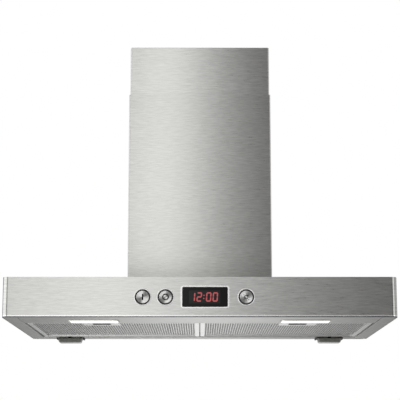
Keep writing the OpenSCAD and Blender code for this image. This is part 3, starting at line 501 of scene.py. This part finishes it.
class HOOD_OT_filters(Maker):
    """The two grease filters: frame, punched sheets below and above, handle and latch."""
    bl_idname = "hood.filters"
    bl_label = "Grease filters"

    def punched(self, side, part, bottom):
        """A thin sheet the size of a part of the filter, with its underside at bottom and a grid of long holes, cut
        away round the handle."""
        low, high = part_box(f"filter_{side}_{part}")
        handle_low, handle_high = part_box(f"filter_{side}_handle")
        pitch, hole, length = sizes().hole_pitch, sizes().hole_size, sizes().hole_length
        columns, rows = round((high.x - low.x) / pitch), round((high.y - low.y) / (length + pitch - hole))
        bm = bmesh.new()
        bmesh.ops.create_grid(bm, x_segments=columns, y_segments=rows, size=0.5)
        bmesh.ops.scale(bm, vec=(high.x - low.x, high.y - low.y, 1), verts=bm.verts)
        bmesh.ops.translate(bm, vec=((low.x + high.x) / 2, (low.y + high.y) / 2, bottom), verts=bm.verts)
        gone = [f for f in bm.faces
                if handle_low.x < f.calc_center_median().x < handle_high.x
                and f.calc_center_median().y < handle_high.y]
        bmesh.ops.delete(bm, geom=gone, context="FACES")
        inner = list(bm.faces)
        bmesh.ops.inset_individual(bm, faces=inner, thickness=(pitch - hole) / 2)
        corners = list({v for f in inner for v in f.verts})
        bmesh.ops.delete(bm, geom=inner, context="FACES_ONLY")
        bmesh.ops.bevel(bm, geom=corners, offset=hole * 0.25, affect="VERTICES", segments=1, profile=0.5, material=-1)
        thick = 0.3 * MM
        bmesh.ops.solidify(bm, geom=bm.faces[:], thickness=-thick)
        bmesh.ops.recalc_face_normals(bm, faces=bm.faces)
        off = bottom - min(v.co.z for v in bm.verts)
        bmesh.ops.translate(bm, vec=(0, 0, off), verts=bm.verts)
        return bm

    def handle(self, side):
        """The pressed plate, with a finger pocket coloured black inside as painted shade."""
        low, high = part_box(f"filter_{side}_handle")
        bm = softened(f"filter_{side}_handle", 0.5)
        # Just outside the pocket's front, back and sides
        front, back, half = low.y + 8.5 * MM, low.y + 43.5 * MM, 21.6 * MM
        # Faces inside the pocket take the black material: painted shade in the pocket
        for face in bm.faces:
            at = face.calc_center_median()
            inside = abs(at.x - (low.x + high.x) / 2) < half and front < at.y < back
            if inside and low.z + 0.6 * MM < at.z < high.z - 0.6 * MM:
                face.material_index = 1
        return bm

    def make(self):
        for side in SIDES:
            body = "filter_" + side
            piece(f"filter_{side}_frame_piece", softened(f"filter_{side}_frame", 0.6), body, ["aluminium"],
                  [f"filter_{side}_frame"])
            face_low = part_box(f"filter_{side}_face")[0]
            piece(f"filter_{side}_face_punched", self.punched(side, "face", face_low.z), body, ["punched"],
                  [f"filter_{side}_face"])
            core_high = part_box(f"filter_{side}_core")[1]
            piece(f"filter_{side}_back_punched", self.punched(side, "core", core_high.z - 0.1 * MM), body,
                  ["punched"])
            piece(f"filter_{side}_handle_piece", self.handle(side), body, ["aluminium", "ink_and_painted_shade"],
                  [f"filter_{side}_handle"])
            piece(f"filter_{side}_latch_piece", softened(f"filter_{side}_latch", 0.4), "latch_" + side, ["nylon"],
                  [f"filter_{side}_latch"])


class HOOD_OT_lamps(Maker):
    """The two lamps: a dark housing with a bright rim, and a lit lens, each."""
    bl_idname = "hood.lamps"
    bl_label = "Lamps"

    def make(self):
        bm = softened("lamp_housings", 0.4)
        lowest = min(v.co.z for v in bm.verts)
        for face in bm.faces:
            if face.calc_center_median().z < lowest + 1.2 * MM:
                face.material_index = 1
        piece("lamp_housings_piece", bm, "canopy", ["nylon", "aluminium"], ["lamp_housings"])
        for side in SIDES:
            low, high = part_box("lamp_lens_" + side)
            bm = block(low, high, corner=6 * MM, axis=2, edge=0.5 * MM)
            piece(f"lamp_lens_{side}_piece", bm, "canopy", ["lens"], ["lamp_lens_" + side])


class HOOD_OT_buttons(Maker):
    """Three push buttons with spun faces and filled marks, in bright rings."""
    bl_idname = "hood.buttons"
    bl_label = "Buttons"

    def mark(self, kind, centre):
        """The mark on a button: a bar, a ring or a lamp."""
        x, y, z = centre
        back, front = y + 0.1 * MM, y - 0.12 * MM

        def bar(dx, dz, length, width, turn=0.0):
            bm = block((-length / 2 * MM, front, -width / 2 * MM), (length / 2 * MM, back, width / 2 * MM),
                       corner=width * 0.4 * MM, axis=1, segments=4)
            bmesh.ops.rotate(bm, verts=bm.verts, cent=(0, 0, 0), matrix=Matrix.Rotation(math.radians(turn), 3, "Y"))
            bmesh.ops.translate(bm, vec=(x + dx * MM, 0, z + dz * MM), verts=bm.verts)
            return bm

        def ring(radius, stroke, dx=0.0, dz=0.0):
            outer, inner = radius, radius - stroke
            return lathe([(inner, -0.1), (inner, 0.12), (outer, 0.12), (outer, -0.1), (inner, -0.1)],
                         (x + dx * MM, y, z + dz * MM), (0, -1, 0), steps=40)

        bm = bmesh.new()
        if kind == "power":
            join(bm, bar(0, 0, 3.0, 14.4))
        elif kind == "stop":
            join(bm, ring(7.8, 2.9))
        else:
            join(bm, ring(5.0, 2.0, -0.4, -0.6))
            join(bm, bar(3.2, 3.0, 3.6, 1.2, 45))
            join(bm, bar(4.2, 4.0, 2.6, 1.0, 45))
            for angle in (135, 180, 225, 270, 315, 0, 90):
                a = math.radians(angle)
                join(bm, bar(-0.4 + 7.4 * math.cos(a), -0.6 + 7.4 * math.sin(a), 2.2, 1.3, -angle))
        return bm

    def make(self):
        for kind in ("power", "stop", "light"):
            low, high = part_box(kind + "_button")
            x, z = (low.x + high.x) / 2, (low.z + high.z) / 2
            r = (high.x - low.x) / 2 / MM
            depth = (high.y - low.y) / MM
            # Each button face gets its own material, whose colour holds painted highlight and painted shade in
            # sectors round its centre
            MATERIALS["spun " + kind] = spun_steel_painted_sheen("steel spun painted sheen " + kind, (x, 0, z))
            profile = [(0, 0.3), (r * 0.3, 0.26), (r * 0.6, 0.12), (r - 2.0, -0.1), (r - 1.3, 0.05), (r - 0.8, 0.0),
                       (r - 0.2, -0.5), (r, -1.0), (r, -7.0), (r - 2, -7.0), (r - 2, -2.5), (3, -2.5), (3, -depth),
                       (0, -depth)]
            bm = lathe(profile, (x, low.y, z), (0, -1, 0), steps=72)
            join(bm, self.mark(kind, (x, low.y - 0.25 * MM, z)), 1)
            piece(kind + "_button_piece", bm, "button_" + kind, ["spun " + kind, "ink_and_painted_shade"], [kind + "_button"])


class HOOD_OT_display(Maker):
    """The display: trims, black glass, a smoked window and four lit digits with a colon."""
    bl_idname = "hood.display"
    bl_label = "Display and trims"

    SEGMENTS = {"0": "abcdef", "1": "bc", "2": "abged"}

    def digit(self, character, x, z, y):
        """One digit as round-ended bars, with its left edge at x and its middle at z."""
        s = sizes()
        height, stroke = s.digit_height, s.stroke
        width = 12.2 * MM if character != "1" else stroke
        half, reach = height / 2, height / 2 - stroke
        bars = {
            "a": ((0, half - stroke), (width, half)), "g": ((0, -stroke / 2), (width, stroke / 2)),
            "d": ((0, -half), (width, -half + stroke)),
            "b": ((width - stroke, 0.5 * MM), (width, half - 0.6 * stroke)),
            "c": ((width - stroke, -half + 0.6 * stroke), (width, -0.5 * MM)),
            "f": ((0, 0.5 * MM), (stroke, half - 0.6 * stroke)),
            "e": ((0, -half + 0.6 * stroke), (stroke, -0.5 * MM)),
        }
        bm = bmesh.new()
        for key in self.SEGMENTS[character]:
            (x0, z0), (x1, z1) = bars[key]
            if key in "agd":
                x0, x1 = x0 + 0.5 * stroke, x1 - 0.5 * stroke
            join(bm, block((x + x0, y - 0.1 * MM, z + z0), (x + x1, y + 0.2 * MM, z + z1),
                           corner=stroke * 0.42, axis=1, segments=4))
        return bm

    def make(self):
        # Bright rings round the buttons, and the bright frame round the glass
        bm = bmesh.new()
        glass_low, glass_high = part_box("display_glass")
        trim_low, trim_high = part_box("control_trim")
        rim = (trim_high.z - trim_low.z) / 2
        for kind in ("power", "stop", "light"):
            low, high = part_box(kind + "_button")
            x, z = (low.x + high.x) / 2, (low.z + high.z) / 2
            join(bm, lathe([(17.5, 0), (17.5, 0.3), (18.0, 0.9), (18.8, 1.0), (19.5, 0.6), (19.8, 0), (17.5, 0)],
                           (x, trim_high.y, z), (0, -1, 0)))
        width = 3.5 * MM
        low = Vector((glass_low.x - width, trim_high.y - 1.0 * MM, glass_low.z - width))
        high = Vector((glass_high.x + width, trim_high.y, glass_high.z + width))
        border = framed(block(low, high, corner=6.5 * MM, axis=1), 1, width)
        round_edges(border, 0.45 * MM, segments=3)
        join(bm, border)
        piece("control_trim_piece", bm, "canopy", ["chrome"], ["control_trim"])

        # Glass with ground edges, and on it the window and the digits
        bm = block(glass_low, glass_high, corner=3 * MM, axis=1, edge=0.6 * MM)
        centre = (glass_low + glass_high) / 2
        join(bm, block((centre.x - 36.4 * MM, glass_low.y - 0.04 * MM, centre.z - 15 * MM),
                       (centre.x + 34.5 * MM, glass_low.y + 0.3 * MM, centre.z + 15 * MM), corner=1 * MM, axis=1), 1)
        digits = bmesh.new()
        front = glass_low.y
        for character, offset in (("1", -25.4), ("2", -19.2), ("0", 2.2), ("0", 17.2)):
            join(digits, self.digit(character, centre.x + offset * MM, centre.z, front))
        for dz in (-3.4, 3.6):
            dot = Vector((centre.x - 2.6 * MM, front, centre.z + dz * MM))
            join(digits, block(dot + Vector((-1.4, -0.1, -1.4)) * MM, dot + Vector((1.4, 0.2, 1.4)) * MM,
                               corner=1.2 * MM, axis=1, segments=4))
        for v in digits.verts:
            v.co.x += (v.co.z - centre.z) * math.tan(math.radians(4))
        join(bm, digits, 2)
        piece("display_glass_piece", bm, "canopy", ["glass", "window", "digit"], ["display_glass"])


class HOOD_OT_cups(Maker):
    """The two grease cups, moulded trays that hang behind the filters."""
    bl_idname = "hood.cups"
    bl_label = "Grease cups"

    def make(self):
        for side in SIDES:
            low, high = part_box("grease_cup_" + side)
            lip = 3 * MM
            rim = high.z - 1.5 * MM
            body_low, body_high = low + Vector((lip, 0, 0)), high - Vector((lip, 0, 0))
            bm = block(body_low, body_high, corner=5 * MM, axis=2)
            # Narrower towards the floor
            centre = (body_low + body_high) / 2
            for v in bm.verts:
                if v.co.z < centre.z:
                    v.co.x = centre.x + (v.co.x - centre.x) * 0.906
            round_edges(bm, 2.2 * MM, angle=60, segments=4)
            top = max((f for f in bm.faces if f.normal.z > 0.99), key=lambda f: f.calc_area())
            bmesh.ops.inset_region(bm, faces=[top], thickness=1.3 * MM)
            deep = bmesh.ops.extrude_face_region(bm, geom=[top])
            verts = [g for g in deep["geom"] if isinstance(g, bmesh.types.BMVert)]
            bmesh.ops.delete(bm, geom=[top], context="FACES_ONLY")
            bmesh.ops.translate(bm, vec=(0, 0, -(high.z - low.z - 1.6 * MM)), verts=verts)
            for v in verts:
                v.co.x = centre.x + (v.co.x - centre.x) * 0.9
            for x0, x1 in ((low.x, low.x + lip + 1 * MM), (high.x - lip - 1 * MM, high.x)):
                join(bm, block((x0, low.y + 5 * MM, rim), (x1, high.y - 5 * MM, high.z), corner=0.5 * MM, axis=1))
            bmesh.ops.recalc_face_normals(bm, faces=bm.faces)
            piece(f"grease_cup_{side}_piece", bm, "cup_" + side, ["smoked"], ["grease_cup_" + side])


class HOOD_OT_stage(Maker):
    """A pale floor, soft lights and the camera."""
    bl_idname = "hood.stage"
    bl_label = "Stage"

    # Compass direction seen from the hood, in degrees to the right of the front, and brightness there
    SOFT_BOXES = [
        (-180, 1.25), (-176.5, 0.9), (-174, 0.5), (-171, 0.3), (-160, 0.55), (-142, 0.2), (-125, 0.2),
        (-112, 1.5), (-38, 1.5),
        (-32, 0.15), (-16, 0.7), (-8, 1.0), (-5.4, 1.6), (-3.2, 1.85), (-1.6, 1.35), (0, 0.92), (1.6, 0.58),
        (3, 0.38), (5, 0.3), (7, 0.22), (9, 0.12), (30, 0.12), (36, 1.2), (60, 1.2), (68, 0.3), (90, 0.6), (150, 0.5),
        (171, 0.32), (174, 0.6), (176.5, 0.95), (180, 1.25)]
    PEAK = 2.0

    def lamp(self, name, place, aim, size, power):
        data = bpy.data.lights.new(name, "AREA")
        data.shape = "RECTANGLE"
        data.size = data.size_y = size
        data.energy = power
        obj = bpy.data.objects.new(name, data)
        obj.location = place
        obj.visible_glossy = False
        obj.rotation_euler = (Vector(aim) - Vector(place)).to_track_quat("-Z", "Y").to_euler()
        bpy.context.scene.collection.objects.link(obj)

    def studio(self, scene):
        """Soft boxes all round, as one brightness for each compass direction: the polished pieces mirror them, the
        matt ones are lit evenly, and the camera sees plain white."""
        world = bpy.data.worlds.new("studio")
        world.use_nodes = True
        tree = world.node_tree
        tree.nodes.clear()
        direction = node(tree, "SeparateXYZ", {0: node(tree, "TexCoord").outputs["Generated"]})
        ahead = node(tree, "Math", {0: direction.outputs["Y"], 1: -1.0}, operation="MULTIPLY")
        compass = node(tree, "Math", {0: direction.outputs["X"], 1: ahead.outputs[0]}, operation="ARCTAN2")
        turn = node(tree, "MapRange", {"Value": compass.outputs[0], "From Min": -math.pi, "From Max": math.pi})
        ramp = node(tree, "ValToRGB", {"Fac": turn.outputs["Result"]})
        stops = ramp.color_ramp.elements
        while len(stops) > 1:
            stops.remove(stops[-1])
        for index, (degrees, brightness) in enumerate(self.SOFT_BOXES):
            stop = stops[0] if index == 0 else stops.new((degrees + 180) / 360)
            stop.position = (degrees + 180) / 360
            stop.color = (brightness / self.PEAK,) * 3 + (1.0,)
        below = node(tree, "MapRange", {"Value": direction.outputs["Z"], "From Min": -0.8, "From Max": -0.35,
                                        "To Min": 0.7 * self.PEAK, "To Max": self.PEAK})
        mirrored = node(tree, "Math", {0: ramp.outputs["Color"], 1: below.outputs["Result"]}, operation="MULTIPLY")
        path = node(tree, "LightPath")
        seen = node(tree, "Math", {0: path.outputs["Is Camera Ray"], 1: path.outputs["Is Transmission Ray"]},
                    operation="MAXIMUM")
        even = node(tree, "Mix", {0: path.outputs["Is Diffuse Ray"], 2: mirrored.outputs[0], 3: 0.7},
                    data_type="FLOAT")
        strength = node(tree, "Mix", {0: seen.outputs[0], 2: even.outputs[0], 3: 1.0}, data_type="FLOAT")
        background = node(tree, "Background", {"Color": (1, 1, 1, 1), "Strength": strength.outputs[0]})
        tree.links.new(background.outputs[0], node(tree, "OutputWorld").inputs["Surface"])
        scene.world = world

    def make(self):
        scene = bpy.context.scene
        scene.view_settings.view_transform = "Standard"
        # Floor, far below the hanging hood
        bm = bmesh.new()
        bmesh.ops.create_grid(bm, x_segments=4, y_segments=4, size=20.0)
        bmesh.ops.translate(bm, vec=(0, 0, -5.0), verts=bm.verts)
        mesh = bpy.data.meshes.new("floor")
        bm.to_mesh(mesh)
        bm.free()
        floor = bpy.data.objects.new("floor", mesh)
        scene.collection.objects.link(floor)
        material, tree, out = blank("floor pale")
        path = node(tree, "LightPath")
        seen = node(tree, "Math", {0: path.outputs["Is Camera Ray"], 1: path.outputs["Is Transmission Ray"]},
                    operation="MAXIMUM")
        diffuse = node(tree, "BsdfDiffuse", {"Color": linear("E8E8E6")})
        white = node(tree, "Emission", {"Color": (1, 1, 1, 1), "Strength": 1.0})
        mixed = node(tree, "MixShader", {0: seen.outputs[0], 1: diffuse.outputs[0], 2: white.outputs[0]})
        tree.links.new(mixed.outputs[0], out.inputs["Surface"])
        mesh.materials.append(material)
        floor.visible_glossy = False

        self.studio(scene)
        self.lamp("key", (-2.2, -2.6, 0.6), (0, 0, -0.5), 1.6, 30)
        self.lamp("below", (-0.4, -0.8, -2.6), (0, 0, -0.7), 1.8, 14)

        data = bpy.data.cameras.new("camera")
        data.sensor_width = 36.0
        data.lens = 119.932
        data.clip_end = 100.0
        camera = bpy.data.objects.new("camera", data)
        camera.location = (0.0005, -3.3186, -0.9821)
        camera.rotation_euler = (math.radians(90 + 10.683), 0, 0)
        scene.collection.objects.link(camera)
        scene.camera = camera


OPERATORS = [HOOD_OT_finishes, HOOD_OT_sheets, HOOD_OT_screws, HOOD_OT_filters, HOOD_OT_lamps, HOOD_OT_buttons,
             HOOD_OT_display, HOOD_OT_cups, HOOD_OT_stage]


class HOOD_PT_sidebar(bpy.types.Panel):
    """Lists the hood's settings and the operators that build it."""
    bl_label = "Island range hood"
    bl_idname = "HOOD_PT_sidebar"
    bl_space_type = "VIEW_3D"
    bl_region_type = "UI"
    bl_category = "Hood"

    def draw(self, context):
        for group in (context.scene.hood_sizes, context.scene.hood_look):
            for name in group.__annotations__:
                self.layout.prop(group, name)
        for operator in OPERATORS:
            self.layout.operator(operator.bl_idname)


CLASSES = [HoodSizes, HoodLook, *OPERATORS, HOOD_PT_sidebar]


def register():
    for cls in CLASSES:
        bpy.utils.register_class(cls)
    bpy.types.Scene.hood_sizes = bpy.props.PointerProperty(type=HoodSizes)
    bpy.types.Scene.hood_look = bpy.props.PointerProperty(type=HoodLook)


def unregister():
    del bpy.types.Scene.hood_look
    del bpy.types.Scene.hood_sizes
    for cls in reversed(CLASSES):
        bpy.utils.unregister_class(cls)


def main():
    register()
    for operator in OPERATORS:
        group, name = operator.bl_idname.split(".")
        getattr(getattr(bpy.ops, group), name)()
    bpy.context.view_layer.update()


if __name__ == "__main__":
    main()
